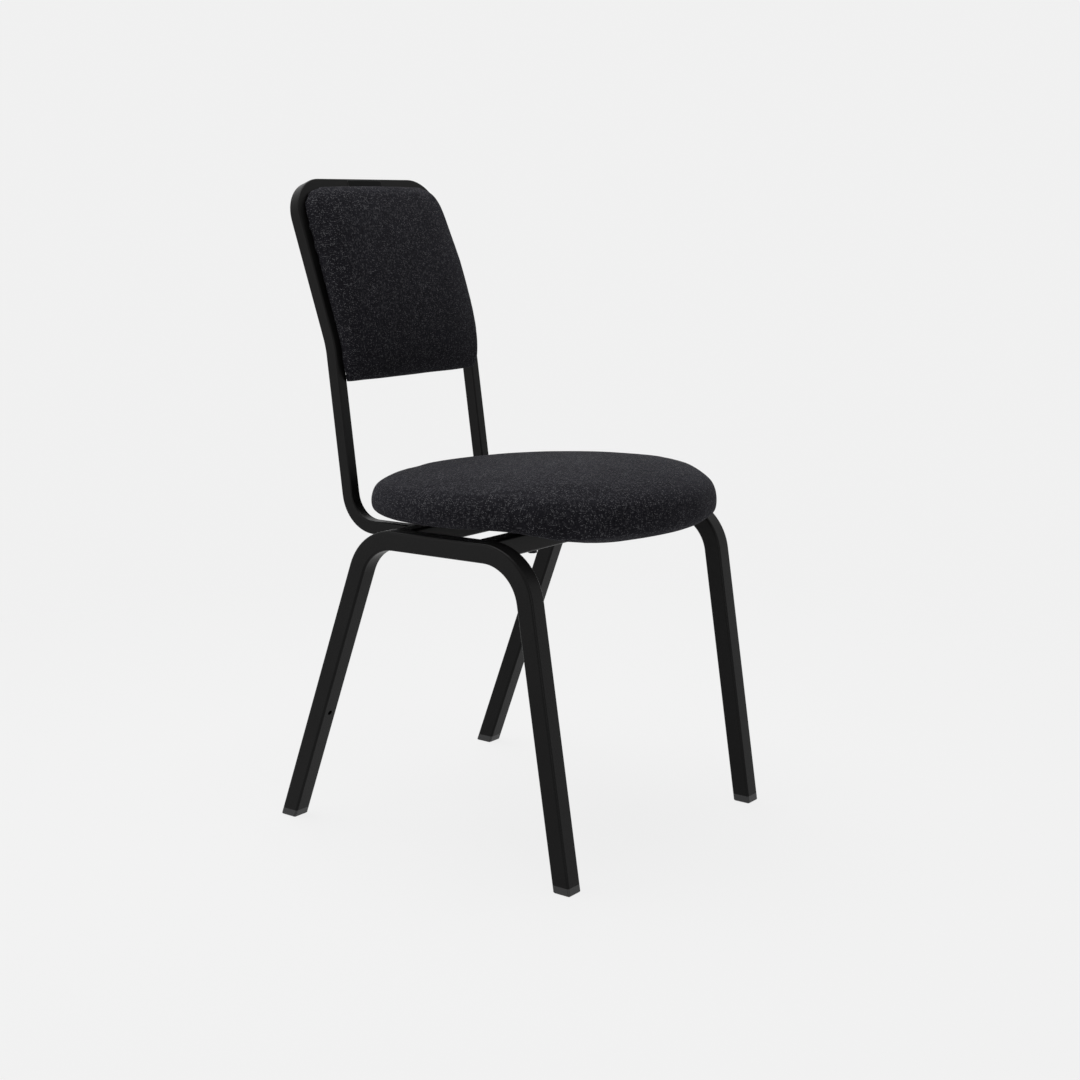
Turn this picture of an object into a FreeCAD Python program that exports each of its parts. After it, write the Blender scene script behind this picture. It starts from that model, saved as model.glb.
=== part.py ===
import FreeCAD, Part
import math
import os

os.makedirs("parts", exist_ok=True)

V = FreeCAD.Vector
Rotation = FreeCAD.Rotation
X_AXIS = V(1, 0, 0)
Z_AXIS = V(0, 0, 1)

# Millimetres and degrees. X runs across the chair, Y from its front to its rear, Z up.
# The floor is Z = 0 and the chair's middle plane is X = 0.

# Steel tubes
LEG_TUBE = 25.0
LEG_CORNER = 3.0
BACK_TUBE_WIDTH = 16.0
BACK_TUBE_DEPTH = 18.0
BACK_CORNER = 2.0
WALL = 1.5
WELD = 2.5

# Side frames, each in a plane at this distance from the middle
SIDE_X = 211.6
FRONT_FOOT_Y = -247.4
FRONT_LEAN = 9.1
REAR_FOOT_Y = 216.5
REAR_LEAN = 20.55
RAIL_Z = 404.7
RAIL_PITCH = 0.9
LEG_BEND = 64.5

# Crossbars, measured along the rails
FRONT_BAR_Y = -116.1
REAR_BAR_Y = 18.4

# Back frame
BACK_X = 140.1
BACK_TOP_X = 136.9
KICK_Y = 194.1
KICK_DROP = 207.3
LOWER_LEAN = 7.87
UPPER_LEAN = 19.6
TOP_Z = 843.5
KICK_Z = TOP_Z - KICK_DROP
BACK_BEND = 46.0
KICK_BEND = 120.0

# Foot caps
CAP_HEIGHT = 10.0
CAP_CHAMFER = 1.2
PLUG_GAP = 0.3
PLUG_LENGTH = 26.0
PLUG_CORE = 14.0
FIN = 1.6
FIN_STEP = 6.0
FINS = 3

# Vent holes in the rear legs' front walls
VENT_RADIUS = 3.5
VENT_Z = 160.0

# Seat pad
SEAT_RADIUS = 227.2
SEAT_Y = -51.5
SEAT_EQUATOR_Z = 434.4
SEAT_SLOPE = 0.04
SEAT_CROWN = 48.4
CROWN_ACROSS = 2.5
CROWN_UP = 4.3
BELOW_ACROSS = 2.7
BELOW_UP = 2.2
FLAT_BELOW = 0.62
RAMP_BELOW = 0.80
DROOP = 20.0
RIM_DROOP = 14.0
TOP_DROOP = 1.6
DROOP_PAST_BAR = 7.9
DROOP_PAST_RIM = 55.0
DROOP_FROM_Y = FRONT_BAR_Y - DROOP_PAST_BAR
DROOP_TO_Y = SEAT_Y - SEAT_RADIUS + DROOP_PAST_RIM

# Back pad, measured down the tubes' front faces from the top tube's middle line
BACK_PAD_TOP = 6.0
BACK_PAD_BOTTOM = 270.5
PAD_HALF_TOP = 128.5
PAD_HALF_MIDDLE = 136.0
PAD_HALF_BOTTOM = 135.0
PAD_TOP_CORNER = 34.0
PAD_BOTTOM_CORNER = 14.0
PAD_TUCK = 4.0
PAD_WIDEST = 7.0
PAD_CROWN = 36.0
PAD_CROWN_TOP = 22.0
PAD_CROWN_BOTTOM = 17.0
PAD_POWER = 2.8
PAD_EDGE = 22.0

# Layers of both pads
COVER = 1.5
GAP = 0.3
SEAT_PAN = 8.0
SEAT_PAN_INSET = 23.2
SEAT_PAN_RADIUS = SEAT_RADIUS - SEAT_PAN_INSET
BACK_BOARD = 9.0
BACK_BOARD_INSET = 2.5
BACK_BOARD_HALF = PAD_HALF_TOP - BACK_BOARD_INSET
BACK_BOARD_MARGIN = 8.0
BACK_BOARD_CORNER = 24.0
LINING = 1.0
COVER_LAP = 22.0
LINING_RADIUS = SEAT_PAN_RADIUS - COVER_LAP
LINING_INSET = 16.0

# Tabs that carry the back pad
TAB_LENGTH = 24.0
TAB_HEIGHT = 32.0
TAB_THICK = 3.0
TAB_DOWN = (62.0, 188.0)

# Fasteners
SEAT_BOLT_X = 110.0
SEAT_BOLT_RADIUS = 3.0
BACK_BOLT_RADIUS = 2.5
HOLE_PLAY = 0.3
THREAD_PLAY = 0.05
WASHER_RADIUS = 8.0
WASHER_THICK = 1.2
HEAD_FLATS = 10.0
HEAD_HEIGHT = 4.0
BACK_HEAD_RADIUS = 4.6
BACK_HEAD_HEIGHT = 2.8
SOCKET_FLATS = 3.0
NUT_BARREL = 4.2
NUT_FLANGE = 9.0
NUT_FLANGE_THICK = 1.2
SIDES = (-1, 1)


def export(name, solids):
    shape = solids[0] if len(solids) == 1 else Part.Compound(solids)
    shape.exportStep("parts/" + name + ".step")


def one(shape):
    """The single solid of a shape."""
    return shape.Solids[0]


def along(lean, sign):
    """Direction in the YZ plane that leans by an angle from the vertical."""
    a = math.radians(lean)
    return V(0, sign * math.sin(a), math.cos(a))


def meet(p, d, q, e):
    """Point where two lines in the YZ plane cross."""
    k = ((q.y - p.y) * e.z - (q.z - p.z) * e.y) / (d.y * e.z - d.z * e.y)
    return p + d * k


def rectangle(width, depth, corner):
    """Closed wire about the origin: width along X, depth along Y."""
    a = width / 2 - corner
    b = depth / 2 - corner
    edges = []
    for k in range(4):
        turn = Rotation(Z_AXIS, 90 * k)
        long, short = (a, b) if k % 2 == 0 else (b, a)
        middle = turn.multVec(V(long, short, 0))
        start = turn.multVec(V(long + corner, short, 0))
        half = turn.multVec(V(long + corner * math.sqrt(0.5), short + corner * math.sqrt(0.5), 0))
        end = turn.multVec(V(long, short + corner, 0))
        following = turn.multVec(V(-long, short + corner, 0))
        if corner > 0:
            edges.append(Part.Arc(start, half, end).toShape())
            edges.append(Part.makeLine(end, following))
        else:
            edges.append(Part.makeLine(middle, turn.multVec(V(-long, short, 0))))
    return Part.Wire(edges)


def tube_faces(width, depth, corner):
    outer = Part.Face(rectangle(width, depth, corner))
    inner = Part.Face(rectangle(width - 2 * WALL, depth - 2 * WALL, corner - WALL))
    return outer, outer.cut(inner).Faces[0]


def placed(face, point, turn):
    copy = face.copy()
    copy.Placement = FreeCAD.Placement(point, turn)
    return copy


def bent(points, radii, face, across):
    """Sweeps a face along straight runs and bends. across is the way its X axis starts."""
    d = (points[1] - points[0]).normalize()
    turn = Rotation(across, d.cross(across), d, "ZXY")
    at = points[0]
    pieces = []
    for i in range(1, len(points)):
        d = (points[i] - points[i - 1]).normalize()
        end = points[i]
        if i < len(points) - 1:
            following = (points[i + 1] - points[i]).normalize()
            angle = math.degrees(d.getAngle(following))
            radius = radii[i - 1]
            end = points[i] - d * radius * math.tan(math.radians(angle / 2))
        pieces.append(placed(face, at, turn).extrude(end - at))
        if i < len(points) - 1:
            axis = d.cross(following).normalize()
            centre = end + axis.cross(d).normalize() * radius
            pieces.append(placed(face, end, turn).revolve(centre, axis, angle))
            swing = Rotation(axis, angle)
            at = centre + swing.multVec(end - centre)
            turn = swing.multiply(turn)
    return one(pieces[0].multiFuse(pieces[1:]).removeSplitter())


def level(shape):
    """Turns a shape drawn with level rails to the rails' pitch."""
    copy = shape.copy()
    copy.rotate(V(0, 0, RAIL_Z), X_AXIS, -RAIL_PITCH)
    return copy


def slab(z_low, z_high):
    return Part.makeBox(900, 1200, z_high - z_low, V(-450, -600, z_low))


def leg_line(side, front):
    """A point on a leg's middle line below the floor, and its direction upwards."""
    foot = FRONT_FOOT_Y if front else REAR_FOOT_Y
    lean = FRONT_LEAN if front else REAR_LEAN
    d = along(lean, 1 if front else -1)
    return V(side * SIDE_X, foot, 0) - d * 2 * CAP_HEIGHT, d


def side_points(side):
    front, up_front = leg_line(side, True)
    rear, up_rear = leg_line(side, False)
    rail = V(side * SIDE_X, 0, RAIL_Z)
    pitch = math.radians(RAIL_PITCH)
    run = V(0, math.cos(pitch), -math.sin(pitch))
    return [front, meet(front, up_front, rail, run), meet(rear, up_rear, rail, run), rear]


def side_frame(side):
    face = tube_faces(LEG_TUBE, LEG_TUBE, LEG_CORNER)[1]
    frame = bent(side_points(side), [LEG_BEND, LEG_BEND], face, X_AXIS)
    frame = frame.cut(slab(-6 * CAP_HEIGHT, CAP_HEIGHT))
    rear, up = leg_line(side, False)
    at = rear + up * ((VENT_Z - rear.z) / up.z)
    vent = Part.makeCylinder(VENT_RADIUS, LEG_TUBE / 2 + 1, at, V(0, -up.z, up.y))
    return one(frame.cut(vent))


def foot_cap(side, front):
    base, up = leg_line(side, front)
    turn = Rotation(X_AXIS, up.cross(X_AXIS), up, "ZXY")
    outer = tube_faces(LEG_TUBE, LEG_TUBE, LEG_CORNER)[0]
    head = placed(outer, base, turn).extrude(up * 8 * CAP_HEIGHT)
    head = one(head.common(slab(0, CAP_HEIGHT)))
    edges = [e for e in head.Edges if e.BoundBox.ZMax < 0.01]
    head = head.makeChamfer(CAP_CHAMFER, edges)
    inside = LEG_TUBE - 2 * WALL - 2 * PLUG_GAP
    top = base + up * ((CAP_HEIGHT - base.z) / up.z)
    core = Part.Face(rectangle(PLUG_CORE, PLUG_CORE, 1.0))
    pieces = [placed(core, top - up * 4, turn).extrude(up * (PLUG_LENGTH + 4))]
    fin = Part.Face(rectangle(inside, inside, 1.2))
    for k in range(FINS):
        start = top + up * (FIN_STEP * (k + 1) + 2)
        pieces.append(placed(fin, start, turn).extrude(up * FIN))
    return one(head.multiFuse(pieces).removeSplitter())


def weld(x, y, z_low, z_high, x_way, y_way):
    """A small bead in the vertical corner between two tubes."""
    a = V(x, y, z_low)
    b = V(x + x_way * WELD, y, z_low)
    c = V(x, y + y_way * WELD, z_low)
    middle = V(x + x_way * WELD * 0.42, y + y_way * WELD * 0.42, z_low)
    wire = Part.Wire([Part.makeLine(a, b), Part.Arc(b, middle, c).toShape(), Part.makeLine(c, a)])
    return Part.Face(wire).extrude(V(0, 0, z_high - z_low))


def crossbar(y):
    half = SIDE_X - LEG_TUBE / 2
    face = tube_faces(LEG_TUBE, LEG_TUBE, LEG_CORNER)[1]
    start = V(-half, y, RAIL_Z)
    bar = bent([start, V(half, y, RAIL_Z)], [], face, V(0, 1, 0))
    flat = LEG_TUBE / 2 - LEG_CORNER
    beads = []
    for side in SIDES:
        for way in SIDES:
            face_y = y + way * LEG_TUBE / 2
            beads.append(weld(side * half, face_y, RAIL_Z - flat, RAIL_Z + flat, -side, way))
    bar = one(bar.multiFuse(beads))
    for side in SIDES:
        start = V(side * SEAT_BOLT_X, y, RAIL_Z - LEG_TUBE)
        bar = bar.cut(Part.makeCylinder(SEAT_BOLT_RADIUS + HOLE_PLAY, 2 * LEG_TUBE, start))
    return level(one(bar))


def back_lines():
    """Corner points of the back frame's middle line on one side, in the YZ plane."""
    drop = (LEG_TUBE - BACK_TUBE_DEPTH) / 2
    start = level(Part.Vertex(V(0, REAR_BAR_Y + LEG_TUBE / 2, RAIL_Z - drop))).Point
    pitch = math.radians(RAIL_PITCH)
    run = V(0, math.cos(pitch), -math.sin(pitch))
    kick = V(0, KICK_Y, KICK_Z)
    corner = meet(start, run, kick, along(LOWER_LEAN, 1))
    upper = along(UPPER_LEAN, 1)
    top = kick + upper * ((TOP_Z - KICK_Z) / upper.z)
    return start, corner, kick, top


def upright_x(z):
    """Distance of an upright's middle line from the chair's middle at a height."""
    corner, top = back_lines()[1], back_lines()[3]
    t = (z - corner.z) / (top.z - corner.z)
    return BACK_X + (BACK_TOP_X - BACK_X) * max(t, 0)


def back_frame():
    lines = back_lines()
    left = [p + V(-upright_x(p.z), 0, 0) for p in lines]
    right = [p + V(upright_x(p.z), 0, 0) for p in reversed(lines)]
    face = tube_faces(BACK_TUBE_WIDTH, BACK_TUBE_DEPTH, BACK_CORNER)[1]
    radii = [BACK_BEND, KICK_BEND, BACK_BEND, BACK_BEND, KICK_BEND, BACK_BEND]
    frame = bent(left + right, radii, face, X_AXIS)
    beads = []
    flat = BACK_TUBE_DEPTH / 2 - BACK_CORNER
    middle = RAIL_Z - (LEG_TUBE - BACK_TUBE_DEPTH) / 2
    for side in SIDES:
        for way in SIDES:
            x = side * BACK_X + way * BACK_TUBE_WIDTH / 2
            beads.append(level(weld(x, REAR_BAR_Y + LEG_TUBE / 2, middle - flat, middle + flat, way, 1)))
    return one(frame.multiFuse(beads))


def upper_frame():
    """Origin at the top tube's middle, X across, Y up the slope, Z out of its front."""
    top = back_lines()[3]
    up = along(UPPER_LEAN, 1)
    front = V(0, -up.z, up.y)
    return top, up, front


def on_upper(shape):
    """Moves a shape drawn flat to the back's upper plane."""
    top, up, front = upper_frame()
    copy = shape.copy()
    copy.Placement = FreeCAD.Placement(top, Rotation(X_AXIS, up, front, "ZXY")).multiply(copy.Placement)
    return copy


def tab(side, down):
    """A welded tab, drawn flat, with its screw hole."""
    high = upper_frame()[0] - upper_frame()[1] * (down - TAB_HEIGHT / 2)
    inner = upright_x(high.z) - BACK_TUBE_WIDTH / 2
    low = -down - TAB_HEIGHT / 2
    x = inner - TAB_LENGTH if side > 0 else -inner
    rear = BACK_TUBE_DEPTH / 2 - BACK_CORNER - TAB_THICK
    plate = Part.makeBox(TAB_LENGTH, TAB_HEIGHT, TAB_THICK, V(x, low, rear))
    edges = [e for e in plate.Edges if abs(e.BoundBox.XMin - side * (inner - TAB_LENGTH)) < 0.01]
    edges = [e for e in edges if e.BoundBox.XLength < 0.01 and e.BoundBox.ZLength > 1]
    plate = plate.makeFillet(6.0, edges)
    start = V(side * tab_bolt_x(), -down, -BACK_TUBE_DEPTH)
    hole = Part.makeCylinder(BACK_BOLT_RADIUS + HOLE_PLAY, 2 * BACK_TUBE_DEPTH, start)
    return one(plate.cut(hole))


def tab_bolt_x():
    return BACK_TOP_X - BACK_TUBE_WIDTH / 2 - TAB_LENGTH / 2


def droop(y):
    """Share of the front's dip reached at y."""
    t = (DROOP_FROM_Y - y) / (DROOP_FROM_Y - DROOP_TO_Y)
    t = min(max(t, 0), 1)
    return t * t * (3 - 2 * t)


def bulge(f, across, up):
    """Height of a rounded quarter, 1 in the middle and 0 at the rim."""
    return max(1 - min(f, 1) ** across, 0) ** (1 / up)


def section(points, straight):
    """Closed wire of arcs through every second point. straight lists the runs drawn as lines."""
    edges = []
    count = len(points) // 2
    for k in range(count):
        a = points[2 * k]
        b = points[2 * k + 1]
        c = points[(2 * k + 2) % len(points)]
        if k in straight:
            edges.append(Part.makeLine(a, c))
        else:
            edges.append(Part.Arc(a, b, c).toShape())
    return Part.Wire(edges)


def seat_slice(y, inset):
    """Section of the seat pad at y, drawn with level rails."""
    radius = SEAT_RADIUS - inset
    away = y - SEAT_Y
    half = math.sqrt(radius ** 2 - away ** 2)
    slope = SEAT_SLOPE - math.tan(math.radians(RAIL_PITCH))
    base = RAIL_Z + LEG_TUBE / 2 + GAP + inset
    equator = SEAT_EQUATOR_Z - slope * y
    dip = droop(y)

    rim = equator - dip * RIM_DROOP

    def top(f):
        r = math.hypot(f * half, away) / radius
        height = SEAT_CROWN - inset + dip * (RIM_DROOP - TOP_DROOP)
        return rim + height * bulge(r, CROWN_ACROSS, CROWN_UP)

    def below(f):
        r = math.hypot(f * half, away) / radius
        depth = equator - base + dip * (DROOP - RIM_DROOP)
        short = 1 - bulge(FLAT_BELOW, BELOW_ACROSS, BELOW_UP)
        ramp = min(max((RAMP_BELOW - r) / (RAMP_BELOW - FLAT_BELOW), 0), 1)
        return rim - depth * (min(bulge(r, BELOW_ACROSS, BELOW_UP), 1 - short) + short * ramp)

    level_part = math.sqrt(max((FLAT_BELOW * radius) ** 2 - away ** 2, 0)) / half
    straight = [4] if level_part > 0.3 else []
    flat = max(level_part, 0.3)
    marks = [0.46, 0.70, 0.86, 0.955, 1.0]
    right = [V(f * half, y, top(f)) for f in marks]
    right += [V(f * half, y, below(f)) for f in (0.985, 0.95, (0.95 + flat) / 2, flat)]
    middle = V(0, y, below(0))
    left = [V(-p.x, y, p.z) for p in reversed(right)]
    return section(right + [middle] + left + [V(0, y, top(0))], straight)


def seat_body(inset, steps=14):
    radius = SEAT_RADIUS - inset
    wires = []
    for k in range(steps + 1):
        angle = 3.6 + (180 - 7.2) * k / steps
        wires.append(seat_slice(SEAT_Y - radius * math.cos(math.radians(angle)), inset))
    return level(one(Part.makeLoft(wires, True, False)))


def seat_column(radius):
    """A round column through the seat's underside, drawn level."""
    return Part.makeCylinder(radius, RAIL_Z + LEG_TUBE - 300, V(0, SEAT_Y, 300))


def under_skin(inset, thick, radius):
    """A dished layer that follows the seat's underside."""
    body = seat_body(inset)
    raised = body.copy()
    raised.translate(V(0, 0, thick))
    return one(body.common(level(seat_column(radius))).cut(raised))


def seat_bolt_spots():
    return [V(side * SEAT_BOLT_X, y, 0) for y in (FRONT_BAR_Y, REAR_BAR_Y) for side in SIDES]


def seat_pan():
    pan = under_skin(COVER + GAP, SEAT_PAN, SEAT_PAN_RADIUS)
    top = pan_top()
    for spot in seat_bolt_spots():
        under = spot + V(0, 0, top - 3 * SEAT_PAN)
        barrel = Part.makeCylinder(NUT_BARREL + THREAD_PLAY, 4 * SEAT_PAN, under)
        recess = Part.makeCylinder(NUT_FLANGE + HOLE_PLAY, 10, spot + V(0, 0, top - NUT_FLANGE_THICK))
        pan = pan.cut(level(barrel)).cut(level(recess))
    return one(pan)


def pan_top():
    """Height of the seat pan's flat middle, drawn level."""
    return RAIL_Z + LEG_TUBE / 2 + GAP + COVER + GAP + SEAT_PAN


def seat_foam():
    body = seat_body(COVER + GAP)
    raised = body.copy()
    raised.translate(V(0, 0, SEAT_PAN + GAP))
    room = level(seat_column(SEAT_PAN_RADIUS + GAP)).cut(raised)
    return one(body.cut(room))


def seat_cover():
    shell = seat_body(0).cut(seat_body(COVER))
    return one(shell.cut(level(seat_column(LINING_RADIUS + GAP))))


def seat_lining():
    sheet = under_skin(COVER - LINING, LINING, LINING_RADIUS)
    for spot in seat_bolt_spots():
        hole = Part.makeCylinder(SEAT_BOLT_RADIUS + HOLE_PLAY, 4 * LEG_TUBE, spot + V(0, 0, RAIL_Z))
        sheet = sheet.cut(level(hole))
    return one(sheet)


def hexagon(flats, height, at):
    corner = V(flats / math.sqrt(3), 0, 0)
    points = [Rotation(Z_AXIS, 60 * k).multVec(corner) for k in range(7)]
    prism = Part.Face(Part.makePolygon(points)).extrude(V(0, 0, height))
    prism.translate(at)
    return prism


def washer(at, hole):
    ring = Part.makeCylinder(WASHER_RADIUS, WASHER_THICK, at)
    return one(ring.cut(Part.makeCylinder(hole, WASHER_THICK, at)))


def tee_nut(at, length, bolt):
    """Barrel below the flange, whose top face is at the given point."""
    barrel = Part.makeCylinder(NUT_BARREL, length, at - V(0, 0, length))
    flange = Part.makeCylinder(NUT_FLANGE, NUT_FLANGE_THICK, at - V(0, 0, NUT_FLANGE_THICK))
    bore = Part.makeCylinder(bolt + THREAD_PLAY, length + 2, at - V(0, 0, length + 1))
    return one(barrel.fuse(flange).cut(bore).removeSplitter())


def seat_fasteners():
    bottom = RAIL_Z - LEG_TUBE / 2
    nut_top = pan_top()
    bolts = []
    washers = []
    nuts = []
    for spot in seat_bolt_spots():
        under = spot + V(0, 0, bottom - WASHER_THICK)
        washers.append(level(washer(under, SEAT_BOLT_RADIUS + HOLE_PLAY)))
        head = hexagon(HEAD_FLATS, HEAD_HEIGHT, under - V(0, 0, HEAD_HEIGHT))
        shank = Part.makeCylinder(SEAT_BOLT_RADIUS, nut_top - 1 - under.z, under)
        bolts.append(level(one(head.fuse(shank).removeSplitter())))
        nuts.append(level(tee_nut(spot + V(0, 0, nut_top), SEAT_PAN - 1, SEAT_BOLT_RADIUS)))
    return bolts, washers, nuts


def back_path(down, out):
    """Point and direction upwards on a line parallel to the back's front faces.

    down is the distance below the top tube's middle line, out the distance in front of
    the tube's middle."""
    top, up, front = upper_frame()
    low_up = along(LOWER_LEAN, 1)
    swing = UPPER_LEAN - LOWER_LEAN
    to_kick = (back_lines()[3] - back_lines()[2]).Length
    tangent = KICK_BEND * math.tan(math.radians(swing / 2))
    start = to_kick - tangent
    arc = math.radians(swing) * KICK_BEND
    if down <= start:
        return top - up * down + front * out, up, front
    centre = top - up * start - front * KICK_BEND
    turned = min((down - start) / arc, 1.0)
    turn = Rotation(X_AXIS, turned * swing)
    now_front = turn.multVec(front)
    now_up = turn.multVec(up)
    point = centre + now_front * (KICK_BEND + out)
    rest = max(down - start - arc, 0)
    return point - now_up * rest, now_up, now_front


def pad_half(down):
    """Half width of the back pad at its widest, without its corners."""
    top, bottom = BACK_PAD_TOP, BACK_PAD_BOTTOM
    t = (down - top) / (bottom - top)
    a = PAD_HALF_TOP
    b = PAD_HALF_MIDDLE
    c = PAD_HALF_BOTTOM
    return a * (1 - t) * (1 - 2 * t) + 4 * b * t * (1 - t) + c * t * (2 * t - 1)


def rounding(distance, radius):
    """Share of full size at a distance inside a rounded end."""
    if distance >= radius:
        return 1.0
    return math.sqrt(max(1 - (1 - distance / radius) ** 2, 0))


def pad_slice(down, inset):
    above = down - BACK_PAD_TOP - inset
    beneath = BACK_PAD_BOTTOM - inset - down
    half = pad_half(down) - inset
    half -= PAD_TOP_CORNER * (1 - rounding(above, PAD_TOP_CORNER))
    half -= PAD_BOTTOM_CORNER * (1 - rounding(beneath, PAD_BOTTOM_CORNER))
    middle = (BACK_PAD_TOP + BACK_PAD_BOTTOM) / 2
    t = (down - middle) / (BACK_PAD_BOTTOM - middle)
    end = PAD_CROWN_TOP if t < 0 else PAD_CROWN_BOTTOM
    crown = end + (PAD_CROWN - end) * (1 - t * t)
    crown *= 0.3 + 0.7 * rounding(min(above, beneath), PAD_EDGE)
    crown -= inset
    base = GAP + inset
    widest = base + (PAD_WIDEST - 2 * inset) * crown / PAD_CROWN
    tuck = PAD_TUCK * crown / PAD_CROWN
    out = BACK_TUBE_DEPTH / 2

    def spot(x, depth):
        point, up, front = back_path(down, out + depth)
        return point + V(x, 0, 0)

    def front(f):
        return spot(f * half, widest + (crown + GAP - widest) * bulge(abs(f), PAD_POWER, PAD_POWER))

    half_rear = half - tuck
    bend = spot(half - tuck * 0.2, base + (widest - base) * 0.5)
    flip = spot(-(half - tuck * 0.2), base + (widest - base) * 0.5)
    points = [front(0.5), front(0.74), front(0.88), front(0.97), spot(half, widest), bend]
    points += [spot(half_rear, base), spot(0, base), spot(-half_rear, base), flip, spot(-half, widest)]
    points += [front(-0.97), front(-0.88), front(-0.74), front(-0.5), front(0)]
    return section(points, [3])


def pad_body(inset):
    top = BACK_PAD_TOP + inset
    bottom = BACK_PAD_BOTTOM - inset
    ends = (0.6, 3.0, 8.0, 17.0, 32.0)
    middle = [top + (bottom - top) * k / 8 for k in (2, 3, 4, 5, 6)]
    stations = [top + e for e in ends] + middle + [bottom - e for e in reversed(ends)]
    return one(Part.makeLoft([pad_slice(s, inset) for s in stations], True, False))


def back_sheet(near, far, half, high, low, corner):
    """A sheet that follows the kick, between two distances in front of the tubes' faces."""
    to_kick = (back_lines()[3] - back_lines()[2]).Length
    swing = UPPER_LEAN - LOWER_LEAN
    start = to_kick - KICK_BEND * math.tan(math.radians(swing / 2))
    end = start + math.radians(swing) * KICK_BEND
    edges = []
    ends = []
    for depth in (near, far):
        out = BACK_TUBE_DEPTH / 2 + depth
        marks = [back_path(d, out)[0] for d in (high, start, (start + end) / 2, end, low)]
        edges.append(Part.makeLine(marks[0], marks[1]))
        edges.append(Part.Arc(marks[1], marks[2], marks[3]).toShape())
        edges.append(Part.makeLine(marks[3], marks[4]))
        ends.append((marks[0], marks[4]))
    edges += [Part.makeLine(ends[0][k], ends[1][k]) for k in (0, 1)]
    face = Part.Face(Part.Wire(Part.__sortEdges__(edges)))
    face.translate(V(-half, 0, 0))
    sheet = face.extrude(V(2 * half, 0, 0))
    corners = [e for e in sheet.Edges if e.BoundBox.XLength < 0.01 and is_corner(e, ends)]
    return one(sheet.makeFillet(corner, corners))


def is_corner(edge, ends):
    """Whether an edge joins the near and far lines at the sheet's top or bottom."""
    a = edge.Vertexes[0].Point
    b = edge.Vertexes[-1].Point
    for k in (0, 1):
        p, q = ends[0][k], ends[1][k]
        flat_a = V(0, a.y, a.z)
        flat_b = V(0, b.y, b.z)
        if flat_a.isEqual(p, 0.01) and flat_b.isEqual(q, 0.01):
            return True
        if flat_a.isEqual(q, 0.01) and flat_b.isEqual(p, 0.01):
            return True
    return False


def back_board():
    near = GAP + COVER + GAP
    high = BACK_PAD_TOP + BACK_BOARD_MARGIN
    low = BACK_PAD_BOTTOM - BACK_BOARD_MARGIN
    board = back_sheet(near, near + BACK_BOARD, BACK_BOARD_HALF, high, low, BACK_BOARD_CORNER)
    face = BACK_TUBE_DEPTH / 2 + near + BACK_BOARD
    for spot in back_bolt_spots():
        at = spot + V(0, 0, face)
        barrel = Part.makeCylinder(NUT_BARREL + THREAD_PLAY, 2 * BACK_BOARD, at - V(0, 0, 1.5 * BACK_BOARD))
        recess = Part.makeCylinder(NUT_FLANGE + HOLE_PLAY, 10, at - V(0, 0, NUT_FLANGE_THICK))
        board = board.cut(on_upper(barrel)).cut(on_upper(recess))
    return one(board)


def back_foam():
    near = GAP + COVER + GAP
    high = BACK_PAD_TOP + BACK_BOARD_MARGIN - GAP
    low = BACK_PAD_BOTTOM - BACK_BOARD_MARGIN + GAP
    room = back_sheet(-10, near + BACK_BOARD + GAP, BACK_BOARD_HALF + GAP, high, low, BACK_BOARD_CORNER)
    return one(pad_body(COVER + GAP).cut(room))


def back_bolt_spots():
    return [V(side * tab_bolt_x(), -down, 0) for side in SIDES for down in TAB_DOWN]


def back_cover():
    shell = pad_body(0).cut(pad_body(COVER))
    inset = LINING_INSET - GAP
    high = BACK_PAD_TOP + inset
    low = BACK_PAD_BOTTOM - inset
    mouth = back_sheet(-10, GAP + COVER + 1, PAD_HALF_TOP - inset, high, low, BACK_BOARD_CORNER)
    shell = shell.cut(mouth)
    for spot in back_bolt_spots():
        hole = Part.makeCylinder(BACK_BOLT_RADIUS + HOLE_PLAY, BACK_TUBE_DEPTH, spot)
        shell = shell.cut(on_upper(hole))
    return one(shell)


def back_lining():
    near = GAP + COVER - LINING
    high = BACK_PAD_TOP + LINING_INSET
    low = BACK_PAD_BOTTOM - LINING_INSET
    sheet = back_sheet(near, near + LINING, PAD_HALF_TOP - LINING_INSET, high, low, BACK_BOARD_CORNER)
    for spot in back_bolt_spots():
        hole = Part.makeCylinder(BACK_BOLT_RADIUS + HOLE_PLAY, BACK_TUBE_DEPTH, spot)
        sheet = sheet.cut(on_upper(hole))
    return one(sheet)


def back_fasteners():
    rear = BACK_TUBE_DEPTH / 2 - BACK_CORNER - TAB_THICK
    board_front = BACK_TUBE_DEPTH / 2 + GAP + COVER + GAP + BACK_BOARD
    screws = []
    washers = []
    nuts = []
    for spot in back_bolt_spots():
        under = spot + V(0, 0, rear - WASHER_THICK)
        washers.append(on_upper(washer(under, BACK_BOLT_RADIUS + HOLE_PLAY)))
        end = under - V(0, 0, BACK_HEAD_HEIGHT)
        head = Part.makeCylinder(BACK_HEAD_RADIUS, BACK_HEAD_HEIGHT, end)
        head = head.makeFillet(1.2, [e for e in head.Edges if e.BoundBox.ZMax < end.z + 0.01])
        shank = Part.makeCylinder(BACK_BOLT_RADIUS, board_front - 1 - under.z, under)
        socket = hexagon(SOCKET_FLATS, BACK_HEAD_HEIGHT * 0.6, end)
        screws.append(on_upper(one(head.fuse(shank).cut(socket).removeSplitter())))
        nuts.append(on_upper(tee_nut(spot + V(0, 0, board_front), BACK_BOARD - 0.5, BACK_BOLT_RADIUS)))
    return screws, washers, nuts


for side, side_name in ((-1, "left"), (1, "right")):
    export("side_frame_" + side_name, [side_frame(side)])
    export("foot_cap_front_" + side_name, [foot_cap(side, True)])
    export("foot_cap_rear_" + side_name, [foot_cap(side, False)])

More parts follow.
